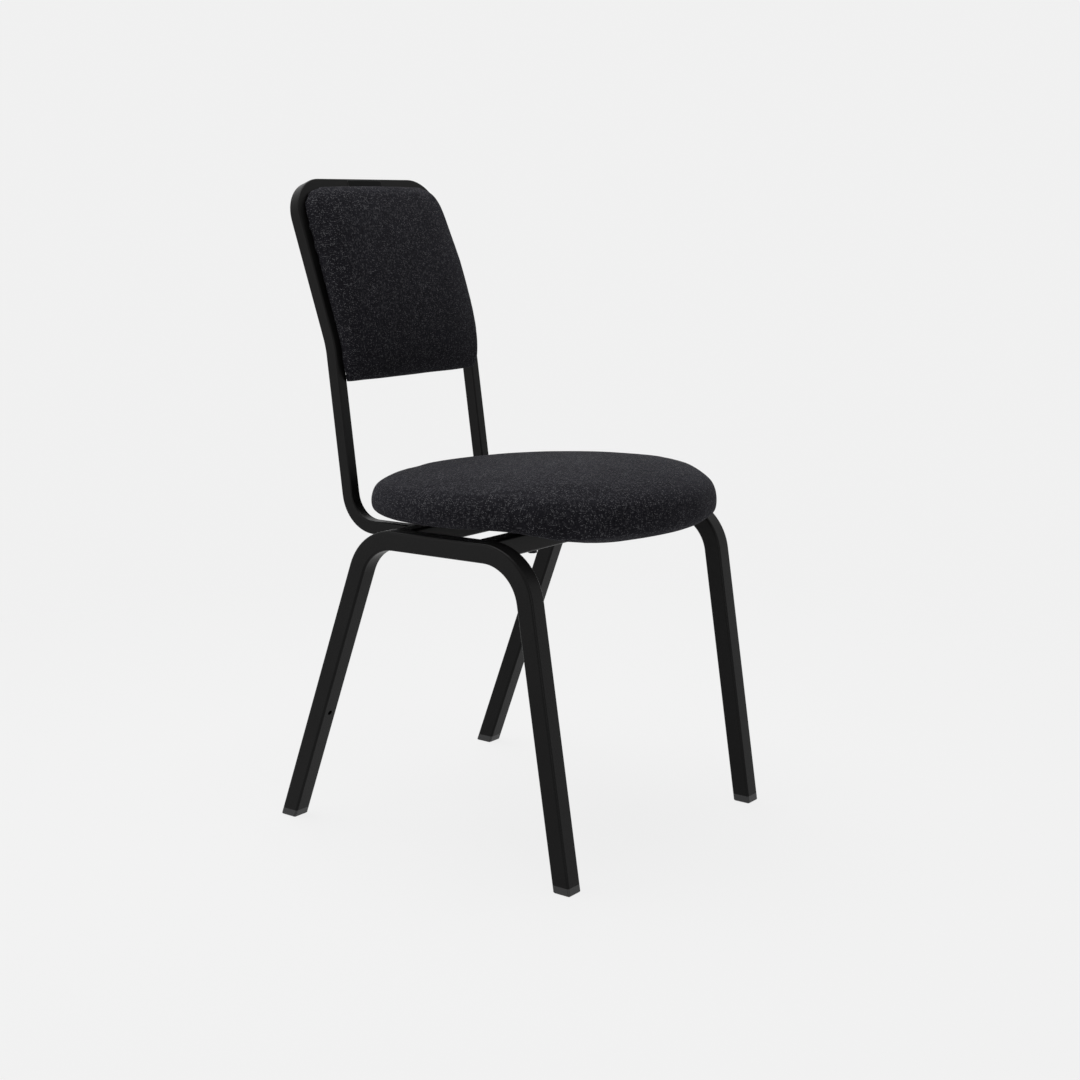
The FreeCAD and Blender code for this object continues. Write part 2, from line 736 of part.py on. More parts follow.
export("front_crossbar", [crossbar(FRONT_BAR_Y)])
export("rear_crossbar", [crossbar(REAR_BAR_Y)])
export("back_frame", [back_frame()])
export("back_tabs", [on_upper(tab(side, down)) for side in SIDES for down in TAB_DOWN])

export("seat_pan", [seat_pan()])
export("seat_foam", [seat_foam()])
export("seat_cover", [seat_cover()])
export("seat_lining", [seat_lining()])
seat_bolts, seat_washers, seat_nuts = seat_fasteners()
export("seat_bolts", seat_bolts)
export("seat_washers", seat_washers)
export("seat_tee_nuts", seat_nuts)

export("back_board", [back_board()])
export("back_foam", [back_foam()])
export("back_cover", [back_cover()])
export("back_lining", [back_lining()])
back_screws, back_washers, back_nuts = back_fasteners()
export("back_screws", back_screws)
export("back_washers", back_washers)
export("back_tee_nuts", back_nuts)
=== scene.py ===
import bmesh
import bpy
import math
from mathutils import Matrix, Vector, noise


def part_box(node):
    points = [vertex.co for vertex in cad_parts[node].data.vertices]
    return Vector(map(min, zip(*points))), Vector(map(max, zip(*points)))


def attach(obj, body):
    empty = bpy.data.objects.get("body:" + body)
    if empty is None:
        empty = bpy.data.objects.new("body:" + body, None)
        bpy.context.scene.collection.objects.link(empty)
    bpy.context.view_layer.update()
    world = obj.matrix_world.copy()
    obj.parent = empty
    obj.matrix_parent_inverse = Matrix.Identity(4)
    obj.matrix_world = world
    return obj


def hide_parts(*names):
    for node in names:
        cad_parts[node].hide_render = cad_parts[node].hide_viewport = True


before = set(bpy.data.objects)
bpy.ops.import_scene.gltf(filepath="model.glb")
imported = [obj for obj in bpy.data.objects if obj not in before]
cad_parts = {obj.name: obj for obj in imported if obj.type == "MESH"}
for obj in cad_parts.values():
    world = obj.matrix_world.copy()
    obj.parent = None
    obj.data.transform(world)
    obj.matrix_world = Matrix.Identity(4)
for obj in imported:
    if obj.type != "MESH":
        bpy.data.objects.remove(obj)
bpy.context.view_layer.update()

# Camera
CAMERA_AT = Vector((-1.84097, -1.44057, 0.82740))
CAMERA_AZIMUTH = -52.8336
CAMERA_PITCH = 10.9668
CAMERA_ROLL = 0.101
CAMERA_LENS = 58.686
SENSOR = 36.0

# Background and floor, as linear light
BACKGROUND = (0.875, 0.875, 0.875)
ROOM_LIGHT = 0.16
FLOOR_LIFT = 0.05
FLOOR_RADIUS = 14.0
SHADOW_SHARE = 0.10
SHADOW_NEAR = 0.55
SHADOW_FAR = 1.5

# Lamps, all aimed at the chair's middle: place, width, height, power
AIM = (0, 0, 0.5)
LAMPS = {
    "overhead": ((0.0, 0.55, 2.7), 2.2, 2.2, 42),
    "left_panel": ((-2.0, 1.1, 0.7), 0.8, 1.6, 6.5),
    "front_left_strip": ((-1.35, -1.9, 0.5), 0.16, 1.6, 6),
    "right_panel": ((2.1, 1.3, 0.9), 0.8, 1.6, 6),
}

# Tubes, as the frame has them
TUBE_WIDTH = 0.016
TUBE_DEPTH = 0.018
TUBE_CORNER = 0.002
BACK_LEAN = 19.6
LOWER_LEAN = 7.87
KICK_DROP = 0.2073

# Bare plate on the top tube
PLATE_WIDTH = 0.068
PLATE_HEIGHT = 0.0105
PLATE_THICK = 0.0005
PLATE_RIM_THICK = 0.7 * PLATE_THICK
PLATE_ROUND = PLATE_THICK * 0.35
PLATE_CORNER = 0.0010
PLATE_LIP = 0.0005
PLATE_X = -0.002
PLATE_UP = 0.0003

# Cushions
VOXEL = 0.0045
SHRINK = 0.0012
SWELL_CAP = 0.0028
SETTLE = 0.35
FILL_OUT = 0.0010
CLOTH_FRAMES = 20
CLOTH_PRESSURE = 4.0
CLOTH_STIFFNESS = 20
HELD_FROM = 0.75
HELD_SPAN = 0.55
SMOOTH_SHARE = 0.5
SMOOTH_BACK = 1.03
UNDULATION = 0.0005
UNDULATION_SIZE = 0.055

# Flanks of the back cushion, which lie over the tubes' front faces
FLANK_HALF = 0.134
FLANK_FULL = 0.0045
FLANK_DEPTH = 0.0085
FLANK_FROM = 0.100
FLANK_TOP_CORNER = 0.034
FLANK_BOTTOM_CORNER = 0.004
FLANK_REST = 0.0004
FLANK_SINK = 0.0025
ROW = 0.004

# Fabric
THREAD = 0.0013
FLECK_RUN = 2.3
FLECK_SHARE = 0.30
DARK_YARN = (0.0075, 0.0072, 0.0098)
LIGHT_YARN = (0.030, 0.0292, 0.036)
FLECK = (0.17, 0.17, 0.18)

# Lining sheets
PUCKER = 0.0004
PUCKER_SIZE = 0.02
LONG_EDGE = 0.03
OUTER_FACING = 0.8


class Graph:
    """Builds the nodes of one material."""

    def __init__(self, name):
        self.material = bpy.data.materials.new(name)
        self.material.use_nodes = True
        self.nodes = self.material.node_tree.nodes
        self.links = self.material.node_tree.links
        self.shader = self.nodes["Principled BSDF"]
        self.output = self.nodes["Material Output"]

    def plug(self, socket, value):
        if isinstance(value, bpy.types.NodeSocket):
            self.links.new(value, socket)
        elif value is not None:
            socket.default_value = value

    def math(self, operation, a, b=None, c=None):
        node = self.nodes.new("ShaderNodeMath")
        node.operation = operation
        for socket, value in zip(node.inputs, (a, b, c)):
            self.plug(socket, value)
        return node.outputs[0]

    def mix(self, share, a, b):
        node = self.nodes.new("ShaderNodeMix")
        node.data_type = "RGBA"
        self.plug(node.inputs["Factor"], share)
        self.plug(node.inputs["A"], a)
        self.plug(node.inputs["B"], b)
        return node.outputs["Result"]

    def blend(self, share, a, b):
        node = self.nodes.new("ShaderNodeMix")
        self.plug(node.inputs["Factor"], share)
        self.plug(node.inputs["A"], a)
        self.plug(node.inputs["B"], b)
        return node.outputs["Result"]

    def spread(self, value, low, high, to_low=0.0, to_high=1.0):
        node = self.nodes.new("ShaderNodeMapRange")
        self.plug(node.inputs["Value"], value)
        node.inputs["From Min"].default_value = low
        node.inputs["From Max"].default_value = high
        node.inputs["To Min"].default_value = to_low
        node.inputs["To Max"].default_value = to_high
        return node.outputs["Result"]

    def place(self, kind="Object"):
        return self.nodes.new("ShaderNodeTexCoord").outputs[kind]

    def split(self, vector):
        node = self.nodes.new("ShaderNodeSeparateXYZ")
        self.plug(node.inputs[0], vector)
        return list(node.outputs)

    def join(self, x, y, z):
        node = self.nodes.new("ShaderNodeCombineXYZ")
        for socket, value in zip(node.inputs, (x, y, z)):
            self.plug(socket, value)
        return node.outputs[0]

    def noise(self, vector, size, detail=2.0, roughness=0.5):
        node = self.nodes.new("ShaderNodeTexNoise")
        self.plug(node.inputs["Vector"], vector)
        node.inputs["Scale"].default_value = 1 / size
        node.inputs["Detail"].default_value = detail
        node.inputs["Roughness"].default_value = roughness
        return node.outputs["Fac"]

    def cells(self, vector, size):
        node = self.nodes.new("ShaderNodeTexVoronoi")
        self.plug(node.inputs["Vector"], vector)
        node.inputs["Scale"].default_value = 1 / size
        return node.outputs["Distance"]

    def chance(self, vector):
        node = self.nodes.new("ShaderNodeTexWhiteNoise")
        self.plug(node.inputs["Vector"], vector)
        return node.outputs["Value"]

    def bump(self, height, distance, strength=1.0):
        node = self.nodes.new("ShaderNodeBump")
        node.inputs["Strength"].default_value = strength
        node.inputs["Distance"].default_value = distance
        self.plug(node.inputs["Height"], height)
        self.plug(self.shader.inputs["Normal"], node.outputs["Normal"])

    def finish(self, color, roughness, **plain):
        self.plug(self.shader.inputs["Base Color"], color)
        self.plug(self.shader.inputs["Roughness"], roughness)
        for name, value in plain.items():
            self.shader.inputs[name.replace("_", " ").title().replace("Ior", "IOR")].default_value = value
        return self.material


def powder_steel():
    """Satin black powder coat: fine orange peel and faint mottling."""
    g = Graph("powder_coat")
    at = g.place()
    peel = g.noise(at, 0.0011, 2.0)
    grain = g.noise(at, 0.00035, 1.0)
    broad = g.noise(at, 0.045, 3.0)
    tone = g.spread(g.blend(0.6, peel, broad), 0.3, 0.7)
    color = g.mix(tone, (0.0030, 0.0029, 0.0029, 1), (0.0052, 0.0050, 0.0050, 1))
    rough = g.spread(g.blend(0.5, broad, peel), 0.3, 0.7, 0.28, 0.40)
    g.bump(g.blend(0.35, peel, grain), 0.00010, 0.55)
    return g.finish(color, rough, specular_ior_level=0.11)


def moulded_plastic(name, dark, light, rough):
    g = Graph(name)
    at = g.place()
    grain = g.noise(at, 0.0006, 2.0)
    broad = g.noise(at, 0.02, 3.0)
    color = g.mix(g.spread(broad, 0.3, 0.7), (*dark, 1), (*light, 1))
    g.bump(grain, 0.00008, 0.5)
    return g.finish(color, g.spread(broad, 0.3, 0.7, rough - 0.05, rough + 0.05), specular_ior_level=0.4)


def yarn(g, across, along):
    """Height of a round yarn that dips under its neighbours."""
    return g.math("MULTIPLY", g.math("POWER", across, 0.6), g.math("MULTIPLY_ADD", along, 0.45, 0.55))


def weave(g, u, v):
    """Height and chance of a fleck in a plain weave across two coordinates."""
    u = g.math("DIVIDE", u, THREAD)
    v = g.math("DIVIDE", v, THREAD)
    column = g.math("FLOOR", u)
    row = g.math("FLOOR", v)
    over = g.math("FLOORED_MODULO", g.math("ADD", column, row), 2.0)
    across_u = g.math("ABSOLUTE", g.math("SINE", g.math("MULTIPLY", u, math.pi)))
    across_v = g.math("ABSOLUTE", g.math("SINE", g.math("MULTIPLY", v, math.pi)))
    height = g.blend(over, yarn(g, across_u, across_v), yarn(g, across_v, across_u))
    warp_run = g.chance(g.join(column, g.math("FLOOR", g.math("DIVIDE", v, FLECK_RUN)), 0.0))
    weft_run = g.chance(g.join(g.math("FLOOR", g.math("DIVIDE", u, FLECK_RUN)), row, 7.0))
    return height, g.blend(over, warp_run, weft_run)


def upholstery(name, dark, light, fleck, share):
    """Wool-like weave with mixed dark yarns and fine pale flecks, laid by the way each side faces; the
    hollows between the yarns get painted shade.
    """
    g = Graph(name)
    at = g.place()
    x, y, z = g.split(at)
    nx, ny, nz = [g.math("ABSOLUTE", n) for n in g.split(g.place("Normal"))]
    level, level_run = weave(g, x, y)
    facing, facing_run = weave(g, x, z)
    aside, aside_run = weave(g, y, z)
    is_level = g.math("GREATER_THAN", nz, g.math("MAXIMUM", nx, ny))
    is_aside = g.math("GREATER_THAN", nx, ny)
    height = g.blend(is_level, g.blend(is_aside, facing, aside), level)
    run = g.blend(is_level, g.blend(is_aside, facing_run, aside_run), level_run)
    broad = g.noise(at, 0.05, 3.0)
    clumps = g.noise(at, 0.0034, 2.0, 0.6)
    fibre = g.noise(at, 0.0005, 2.0, 0.7)
    tone = g.math("ADD", g.spread(run, 0.0, 1.0, 0.0, 0.5), g.spread(clumps, 0.3, 0.7, 0.0, 0.6))
    color = g.mix(tone, (*dark, 1), (*light, 1))
    pale = g.spread(run, 1 - share, 1 - share * 0.45)
    pale = g.math("MULTIPLY", pale, g.spread(height, 0.35, 0.9))
    pale = g.math("MULTIPLY", pale, g.spread(clumps, 0.35, 0.6, 0.1, 1.0))
    color = g.mix(pale, color, (*fleck, 1))
    # Painted shade: the colour is pulled towards near black where the weave is low, in the hollows
    # between the yarns; a broad random tone of the cloth varies how far.
    hollow_shade_and_tone = g.spread(height, 0.1, 0.8, 0.45, 1.0)
    hollow_shade_and_tone = g.math("MULTIPLY", hollow_shade_and_tone, g.spread(broad, 0.3, 0.7, 0.88, 1.12))
    color = g.mix(hollow_shade_and_tone, (0.003, 0.003, 0.0035, 1), color)
    g.bump(g.math("ADD", g.math("MULTIPLY", height, 0.7), g.math("MULTIPLY", fibre, 0.3)), 0.00045, 0.8)
    rough = g.spread(fibre, 0.3, 0.7, 0.84, 0.96)
    made = g.finish(color, rough, specular_ior_level=0.05, sheen_weight=0.05, sheen_roughness=0.5)
    g.shader.inputs["Sheen Tint"].default_value = (0.62, 0.62, 0.70, 1)
    return made


def lining_cloth():
    """Thin spun cloth with a dimpled grid."""
    g = Graph("lining_cloth_weave")
    at = g.place()
    x, y, z = g.split(at)
    height, run = weave(g, x, g.math("ADD", y, z))
    fuzz = g.noise(at, 0.003, 4.0, 0.7)
    tone = g.spread(g.blend(0.5, run, fuzz), 0.2, 0.8)
    color = g.mix(tone, (0.007, 0.007, 0.008, 1), (0.02, 0.02, 0.021, 1))
    g.bump(g.blend(0.4, height, fuzz), 0.0003, 0.7)
    return g.finish(color, g.spread(fuzz, 0.3, 0.7, 0.8, 0.95), specular_ior_level=0.2)


def foam_cells():
    g = Graph("open_cell_foam")
    at = g.place()
    cell = g.cells(at, 0.0018)
    # Painted shade: the colour is darker in the pits of the cells, the same pits the bump makes, and
    # paler on the walls between them.
    color = g.mix(g.spread(cell, 0.1, 0.7), (0.42, 0.38, 0.27, 1), (0.74, 0.70, 0.56, 1))
    g.bump(cell, 0.0005, 0.8)
    return g.finish(color, 0.92, specular_ior_level=0.2)


def plywood():
    """Rotary-cut veneer: long grain lines that wander."""
    g = Graph("plywood_veneer")
    x, y, z = g.split(g.place())
    drawn = g.join(g.math("MULTIPLY", x, 0.12), y, z)
    grain = g.noise(drawn, 0.003, 4.0, 0.65)
    broad = g.noise(drawn, 0.03, 3.0)
    tone = g.spread(g.blend(0.5, grain, broad), 0.3, 0.7)
    color = g.mix(tone, (0.33, 0.21, 0.11, 1), (0.56, 0.41, 0.25, 1))
    g.bump(grain, 0.00015, 0.6)
    return g.finish(color, g.spread(grain, 0.3, 0.7, 0.55, 0.7), specular_ior_level=0.35)


def zinc_steel():
    """Zinc plate: pale grey metal with a fine spangle."""
    g = Graph("zinc_plate")
    at = g.place()
    spangle = g.cells(at, 0.0016)
    fine = g.noise(at, 0.0005, 2.0)
    color = g.mix(g.spread(spangle, 0.1, 0.7), (0.46, 0.46, 0.47, 1), (0.62, 0.62, 0.64, 1))
    g.bump(fine, 0.00004, 0.4)
    return g.finish(color, g.spread(fine, 0.3, 0.7, 0.28, 0.42), metallic=1.0)


def black_zinc():
    """Black passivated zinc on the bolts that show."""
    g = Graph("black_zinc_plate")
    at = g.place()
    fine = g.noise(at, 0.0005, 2.0)
    broad = g.noise(at, 0.004, 2.0)
    color = g.mix(g.spread(broad, 0.3, 0.7), (0.010, 0.010, 0.011, 1), (0.022, 0.022, 0.024, 1))
    g.bump(fine, 0.00004, 0.4)
    return g.finish(color, g.spread(fine, 0.3, 0.7, 0.35, 0.5), metallic=1.0)


def plate_finish():
    g = Graph("bare_plate_lacquer")
    at = g.place()
    fine = g.noise(at, 0.0008, 2.0)
    color = g.mix(g.spread(fine, 0.3, 0.7), (0.0015, 0.0015, 0.0016, 1), (0.003, 0.003, 0.0032, 1))
    g.bump(fine, 0.00003, 0.4)
    return g.finish(color, g.spread(fine, 0.3, 0.7, 0.3, 0.4), specular_ior_level=0.06)


def plate_rim_finish():
    g = Graph("bare_plate_rim")
    at = g.place()
    fine = g.noise(at, 0.0008, 2.0)
    color = g.mix(g.spread(fine, 0.3, 0.7), (0.035, 0.035, 0.036, 1), (0.06, 0.06, 0.062, 1))
    g.bump(fine, 0.00003, 0.4)
    return g.finish(color, g.spread(fine, 0.3, 0.7, 0.3, 0.4), specular_ior_level=0.3)


def give(piece, material):
    """Puts a material in every slot of a piece."""
    if not piece.material_slots:
        piece.data.materials.append(material)
    for place in piece.material_slots:
        place.material = material


def make(name, mesh, material):
    piece = bpy.data.objects.new(name, mesh)
    bpy.context.collection.objects.link(piece)
    give(piece, material)
    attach(piece, "root")
    return piece


def joined_mesh(name, nodes):
    """One mesh with the faces of several solids of the frame."""
    joined = bmesh.new()
    for node in nodes:
        joined.from_mesh(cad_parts[node].data)
    mesh = bpy.data.meshes.new(name)
    joined.to_mesh(mesh)
    joined.free()
    return mesh


def applied(piece):
    """Replaces a piece's mesh by what its modifiers make of it."""
    graph = bpy.context.evaluated_depsgraph_get()
    mesh = bpy.data.meshes.new_from_object(piece.evaluated_get(graph))
    piece.modifiers.clear()
    piece.data = mesh


def largest_part(mesh):
    """Keeps the outer skin and drops closed hollows inside it."""
    edit = bmesh.new()
    edit.from_mesh(mesh)
    left = set(edit.verts)
    parts = []
    while left:
        stack = [left.pop()]
        part = list(stack)
        while stack:
            for edge in stack.pop().link_edges:
                for vert in edge.verts:
                    if vert in left:
                        left.remove(vert)
                        stack.append(vert)
                        part.append(vert)
        parts.append(part)
    parts.sort(key=len)
    bmesh.ops.delete(edit, geom=[v for part in parts[:-1] for v in part], context="VERTS")
    edit.to_mesh(mesh)
    edit.free()


def even(mesh, turns):
    """Smooths a mesh without making it smaller."""
    edit = bmesh.new()
    edit.from_mesh(mesh)
    edit.verts.ensure_lookup_table()
    near = [[e.other_vert(v).index for e in v.link_edges] for v in edit.verts]
    spots = [v.co.copy() for v in edit.verts]
    for turn in range(2 * turns):
        step = SMOOTH_SHARE if turn % 2 == 0 else -SMOOTH_SHARE * SMOOTH_BACK
        pull = [sum((spots[j] for j in n), Vector()) / len(n) - spots[i] for i, n in enumerate(near)]
        spots = [p + q * step for p, q in zip(spots, pull)]
    for v, p in zip(edit.verts, spots):
        v.co = p
    edit.normal_update()
    edit.to_mesh(mesh)
    edit.free()


def hold(normal, out):
    """How freely the fabric may move: not at all on the side that rests on the frame."""
    facing = -normal.dot(out)
    return min(max((HELD_FROM - facing) / HELD_SPAN, 0.0), 1.0)


def swell(piece, out):
    """Lets the fabric fill under pressure and caps how far it moves."""
    mesh = piece.data
    start = [v.co.copy() for v in mesh.vertices]
    normals = [v.normal.copy() for v in mesh.vertices]
    free = [hold(n, out) for n in normals]
    for v, n, f in zip(mesh.vertices, normals, free):
        v.co -= n * SHRINK * f
    pins = piece.vertex_groups.new(name="held")
    for i, f in enumerate(free):
        pins.add([i], 1.0 - f, "REPLACE")
    cloth = piece.modifiers.new("cloth", "CLOTH")
    cloth.settings.use_pressure = True
    cloth.settings.uniform_pressure_force = CLOTH_PRESSURE
    cloth.settings.vertex_group_mass = pins.name
    cloth.settings.tension_stiffness = CLOTH_STIFFNESS
    cloth.settings.compression_stiffness = CLOTH_STIFFNESS
    cloth.settings.effector_weights.gravity = 0
    cloth.point_cache.frame_end = CLOTH_FRAMES
    for step in range(1, CLOTH_FRAMES + 1):
        bpy.context.scene.frame_set(step)
    applied(piece)
    bpy.context.scene.frame_set(1)
    piece.vertex_groups.clear()
    mesh = piece.data
    for v, at, n, f in zip(mesh.vertices, start, normals, free):
        push = (v.co - at).dot(n)
        limit = min(max(push, -SHRINK), SWELL_CAP - SHRINK) * f
        wave = noise.noise(at / UNDULATION_SIZE) * UNDULATION * f
        v.co = at + n * (limit * SETTLE + wave + FILL_OUT * f)


def before_tubes(spots):
    """How far each point stands in front of the bent uprights' front faces."""
    at, up, out = top_tube()
    lean = math.radians(LOWER_LEAN)
    kick = at - up * (KICK_DROP / up.z)
    lower_out = Vector((0, -math.cos(lean), math.sin(lean)))
    return [max((spot - at).dot(out), (spot - kick).dot(lower_out)) - TUBE_DEPTH / 2 for spot in spots]


def flank(down, length):
    """Half width of the back cushion's rear edge at a distance below its top."""
    half = FLANK_HALF
    for near, corner in ((down, FLANK_TOP_CORNER), (length - down, FLANK_BOTTOM_CORNER)):
        if near < corner:
            half -= corner * (1 - math.sqrt(max(1 - (1 - max(near, 0) / corner) ** 2, 0)))
    return half


def widen(mesh):
    """Draws the back cushion's rear edge out over the tubes' front faces."""
    at, up, out = top_tube()
    downs = [(at - v.co).dot(up) for v in mesh.vertices]
    high = min(downs)
    length = max(downs) - high
    rows = [0.0] * (int(length / ROW) + 2)
    depths = before_tubes([v.co for v in mesh.vertices])
    for v, down, depth in zip(mesh.vertices, downs, depths):
        row = int((down - high) / ROW)
        if depth < FLANK_FULL:
            rows[row] = max(rows[row], abs(v.co.x))
    for v, down, depth in zip(mesh.vertices, downs, depths):
        place = (down - high) / ROW
        row = int(place)
        near, following = rows[row], rows[row + 1] or rows[row]
        widest = near + (following - near) * (place - row)
        rear = min(max((FLANK_DEPTH - depth) / (FLANK_DEPTH - FLANK_FULL), 0.0), 1.0)
        side = min(max((abs(v.co.x) - FLANK_FROM) / max(widest - FLANK_FROM, ROW), 0.0), 1.0)
        more = max(flank(down - high, length) - widest, 0.0)
        v.co.x += math.copysign(more * rear * side, v.co.x)
        v.co -= out * min(max(depth - FLANK_REST, 0.0), FLANK_SINK) * rear * side


def cushion(name, nodes, replaced, out, material, shaping=None):
    """A closed cushion in the space of the frame's soft solids, filled under pressure."""
    piece = make(name, joined_mesh(name, nodes), material)
    remesh = piece.modifiers.new("remesh", "REMESH")
    remesh.mode = "VOXEL"
    remesh.voxel_size = VOXEL
    applied(piece)
    largest_part(piece.data)
    even(piece.data, 3)
    swell(piece, out)
    if shaping:
        shaping(piece.data)
    even(piece.data, 2)
    finer = piece.modifiers.new("finer", "SUBSURF")
    finer.levels = 1
    finer.render_levels = 1
    applied(piece)
    for face in piece.data.polygons:
        face.use_smooth = True
    give(piece, material)
    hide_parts(*replaced)
    return piece


def lining(name, node, material, out):
    """A thin cloth sheet that follows the node, with slight puckers."""
    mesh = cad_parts[node].data.copy()
    mesh.name = name
    edit = bmesh.new()
    edit.from_mesh(mesh)
    bmesh.ops.remove_doubles(edit, verts=edit.verts, dist=0.00001)
    long_edges = [e for e in edit.edges if e.calc_length() > LONG_EDGE]
    bmesh.ops.subdivide_edges(edit, edges=long_edges, cuts=2, use_grid_fill=False)
    bmesh.ops.triangulate(edit, faces=edit.faces)
    edit.normal_update()
    for v in edit.verts:
        if v.normal.dot(out) > OUTER_FACING:
            v.co -= out * PUCKER * (0.5 + 0.5 * noise.noise(v.co / PUCKER_SIZE))
    edit.to_mesh(mesh)
    edit.free()
    piece = make(name, mesh, material)
    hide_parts(node)
    return piece


def top_tube():
    """Middle of the top tube, the way up the slope, and the way out of its front."""
    lean = math.radians(BACK_LEAN)
    up = Vector((0, math.sin(lean), math.cos(lean)))
    out = Vector((0, -math.cos(lean), math.sin(lean)))
    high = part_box("back_frame")[1]
    rounded = TUBE_CORNER * (math.cos(lean) + math.sin(lean) - 1)
    z = high[2] - TUBE_WIDTH / 2 * up.z - TUBE_DEPTH / 2 * out.z + rounded
    y = high[1] - TUBE_WIDTH / 2 * up.y + TUBE_DEPTH / 2 * out.y + rounded
    return Vector((0, y, z)), up, out


def rounded_plate(width, height, corner, low, high, steps=5):
    """A closed plate with rounded corners between two levels."""
    ring = []
    for k in range(4):
        x = (width / 2 - corner) * (1 if k in (0, 3) else -1)
        y = (height / 2 - corner) * (1 if k in (0, 1) else -1)
        for j in range(steps + 1):
            a = math.radians(90 * k + 90 * j / steps)
            ring.append((x + corner * math.cos(a), y + corner * math.sin(a)))
    edit = bmesh.new()
    bottom = [edit.verts.new((x, y, low)) for x, y in ring]
    top = [edit.verts.new((x, y, high)) for x, y in ring]
    for k in range(len(ring)):
        following = (k + 1) % len(ring)
        edit.faces.new((bottom[k], bottom[following], top[following], top[k]))
    edit.faces.new(top)
    edit.faces.new(list(reversed(bottom)))
    rim = [e for e in edit.edges if all(v in top for v in e.verts)]
    bmesh.ops.bevel(edit, geom=rim, offset=PLATE_ROUND, segments=2, affect="EDGES")
    return edit


def bare_plate():
    """The small plate on the front of the top tube: a lacquered face in a paler rim."""
    at, up, out = top_tube()
    turn = Matrix((Vector((1, 0, 0)), up, out)).transposed().to_4x4()
    centre = at + out * TUBE_DEPTH / 2 + up * PLATE_UP + Vector((PLATE_X, 0, 0))
    turn.translation = centre
    parts = (
        ("plate_rim", 0.0, PLATE_RIM_THICK, plate_rim_finish()),
        ("plate_face", PLATE_LIP, PLATE_THICK, plate_finish()),
    )
    for name, inset, thick, material in parts:
        edit = rounded_plate(PLATE_WIDTH - 2 * inset, PLATE_HEIGHT - 2 * inset, PLATE_CORNER, 0.0, thick)
        mesh = bpy.data.meshes.new(name)
        edit.to_mesh(mesh)
        edit.free()
        mesh.transform(turn)
        make(name, mesh, material)


def dress_nodes():
    """Finishes for the frame's own pieces."""
    steel = powder_steel()
    caps = moulded_plastic("cap_moulding", (0.016, 0.016, 0.0165), (0.025, 0.025, 0.026), 0.42)
    pan = moulded_plastic("pan_moulding", (0.016, 0.016, 0.016), (0.03, 0.03, 0.03), 0.55)
    foam = foam_cells()
    zinc = zinc_steel()
    black = black_zinc()
    ply = plywood()
    finishes = {
        "side_frame": steel, "front_crossbar": steel, "rear_crossbar": steel,
        "back_frame": steel, "back_tabs": steel, "foot_cap": caps,
        "seat_pan": pan, "back_board": ply, "seat_foam": foam, "back_foam": foam,
        "seat_bolts": black, "seat_washers": black, "seat_tee_nuts": zinc,
        "back_screws": black, "back_washers": black, "back_tee_nuts": zinc,
    }
    for name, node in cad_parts.items():
        for start, material in finishes.items():
            if name.startswith(start):
                give(node, material)


def soft_pieces():
    seat_fabric = upholstery("seat_weave", DARK_YARN, LIGHT_YARN, FLECK, FLECK_SHARE)
    back_fabric = upholstery("back_weave", DARK_YARN, LIGHT_YARN, FLECK, FLECK_SHARE)
    cloth = lining_cloth()
    up = Vector((0, 0, 1))
    out = top_tube()[2]
    seat = ("seat_cover", "seat_foam", "seat_pan")
    cushion("seat_cushion", seat, ("seat_cover", "seat_foam"), up, seat_fabric)
    back = ("back_cover", "back_foam", "back_board")
    cushion("back_cushion", back, ("back_cover", "back_foam"), out, back_fabric, widen)
    lining("seat_lining_cloth", "seat_lining", cloth, -up)
    lining("back_lining_cloth", "back_lining", cloth, -out)


def seen(nodes):
    """1 where a ray comes from the camera, a reflection or through glass."""
    path = nodes.new("ShaderNodeLightPath")
    return [path.outputs[name] for name in ("Is Camera Ray", "Is Glossy Ray", "Is Transmission Ray")]


def floor():
    edit = bmesh.new()
    bmesh.ops.create_circle(edit, cap_ends=True, segments=96, radius=FLOOR_RADIUS)
    mesh = bpy.data.meshes.new("floor")
    edit.to_mesh(mesh)
    edit.free()
    piece = bpy.data.objects.new("floor", mesh)
    bpy.context.collection.objects.link(piece)
    g = Graph("pale_floor")
    at = g.place()
    tint = g.spread(g.noise(at, 0.4, 3.0), 0.3, 0.7)
    g.finish(g.mix(tint, (0.80, 0.80, 0.80, 1), (0.83, 0.83, 0.83, 1)), 0.9, specular_ior_level=0.1)
    glow = g.nodes.new("ShaderNodeEmission")
    camera, glossy, through = seen(g.nodes)
    away = g.nodes.new("ShaderNodeVectorMath")
    away.operation = "LENGTH"
    g.plug(away.inputs[0], at)
    far = g.spread(away.outputs["Value"], SHADOW_NEAR, SHADOW_FAR)
    lifted = tuple(c + FLOOR_LIFT for c in BACKGROUND)
    g.plug(glow.inputs["Color"], g.mix(far, (*lifted, 1), (*BACKGROUND, 1)))
    direct = g.math("MAXIMUM", camera, g.math("MAXIMUM", glossy, through))
    share = g.math("MULTIPLY", g.spread(far, 0.0, 1.0, 1 - SHADOW_SHARE, 1.0), direct)
    mixed = g.nodes.new("ShaderNodeMixShader")
    g.plug(mixed.inputs[0], share)
    g.plug(mixed.inputs[1], g.shader.outputs[0])
    g.plug(mixed.inputs[2], glow.outputs[0])
    g.plug(g.output.inputs["Surface"], mixed.outputs[0])
    give(piece, g.material)


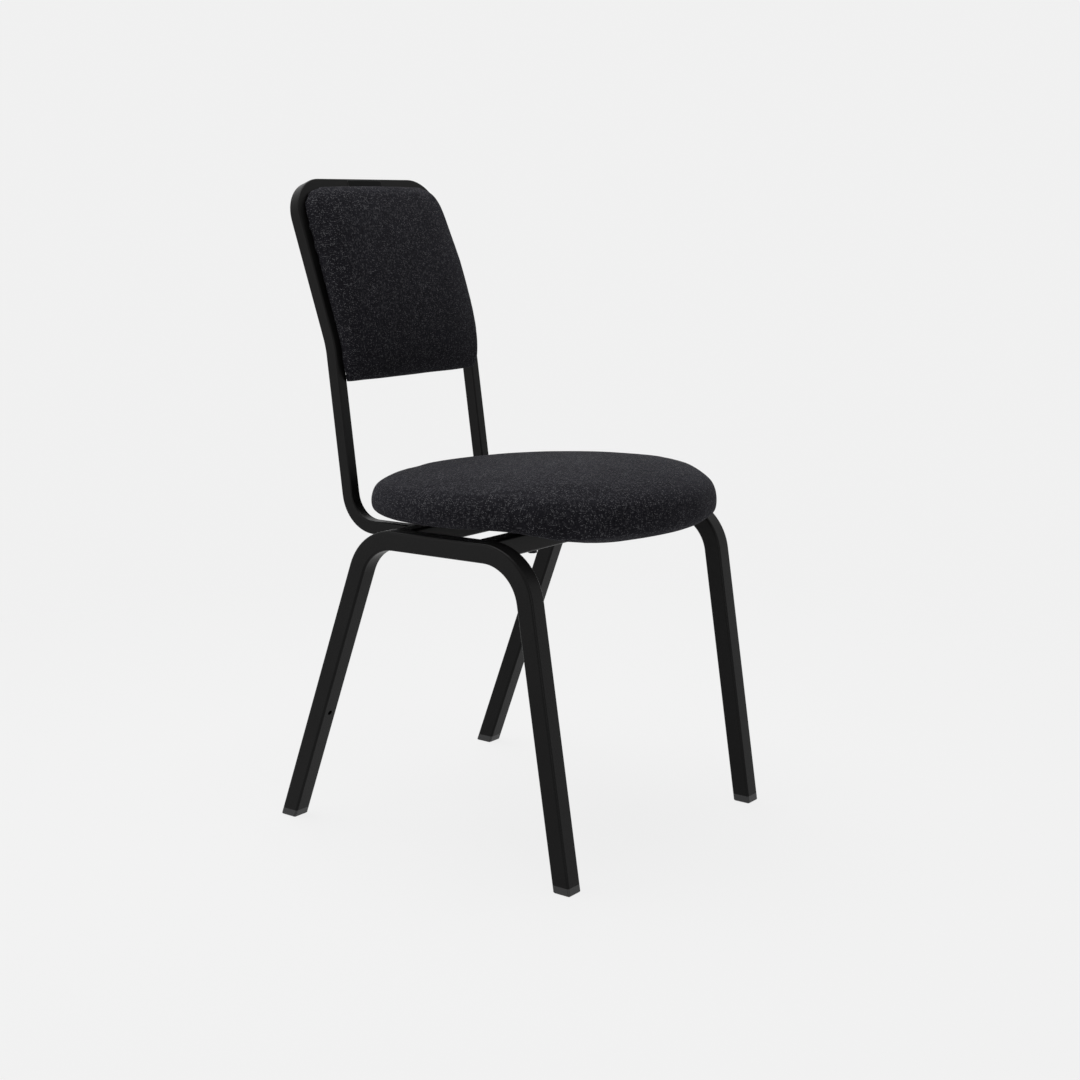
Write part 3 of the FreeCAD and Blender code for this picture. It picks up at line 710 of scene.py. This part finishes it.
def room():
    world = bpy.data.worlds.new("room")
    world.use_nodes = True
    nodes = world.node_tree.nodes
    links = world.node_tree.links
    back = nodes["Background"]
    back.inputs["Color"].default_value = (1, 1, 1, 1)
    path = seen(nodes)
    most = nodes.new("ShaderNodeMath")
    most.operation = "MAXIMUM"
    links.new(path[0], most.inputs[0])
    links.new(path[1], most.inputs[1])
    every = nodes.new("ShaderNodeMath")
    every.operation = "MAXIMUM"
    links.new(most.outputs[0], every.inputs[0])
    links.new(path[2], every.inputs[1])
    level = nodes.new("ShaderNodeMapRange")
    links.new(every.outputs[0], level.inputs["Value"])
    level.inputs["To Min"].default_value = ROOM_LIGHT
    level.inputs["To Max"].default_value = BACKGROUND[0]
    links.new(level.outputs["Result"], back.inputs["Strength"])
    bpy.context.scene.world = world


def lamp(name, at, width, height, power):
    light = bpy.data.lights.new(name, "AREA")
    light.shape = "RECTANGLE"
    light.size = width
    light.size_y = height
    light.energy = power
    holder = bpy.data.objects.new(name, light)
    holder.location = at
    holder.rotation_euler = (Vector(at) - Vector(AIM)).to_track_quat("Z", "Y").to_euler()
    bpy.context.collection.objects.link(holder)


def lights():
    for name, (at, width, height, power) in LAMPS.items():
        lamp(name, at, width, height, power)


def camera():
    azimuth = math.radians(CAMERA_AZIMUTH)
    pitch = math.radians(CAMERA_PITCH)
    roll = math.radians(CAMERA_ROLL)
    flat = math.cos(pitch)
    back = Vector((math.sin(azimuth) * flat, -math.cos(azimuth) * flat, math.sin(pitch)))
    right = Vector((math.cos(azimuth), math.sin(azimuth), 0))
    up = back.cross(right)
    across = right * math.cos(roll) + up * math.sin(roll)
    above = up * math.cos(roll) - right * math.sin(roll)
    data = bpy.data.cameras.new("camera")
    data.lens = CAMERA_LENS
    data.sensor_width = SENSOR
    holder = bpy.data.objects.new("camera", data)
    turn = Matrix((across, above, back)).transposed().to_4x4()
    turn.translation = CAMERA_AT
    holder.matrix_world = turn
    bpy.context.collection.objects.link(holder)
    bpy.context.scene.camera = holder


dress_nodes()
soft_pieces()
bare_plate()
floor()
room()
lights()
camera()
bpy.context.scene.view_settings.view_transform = "Standard"
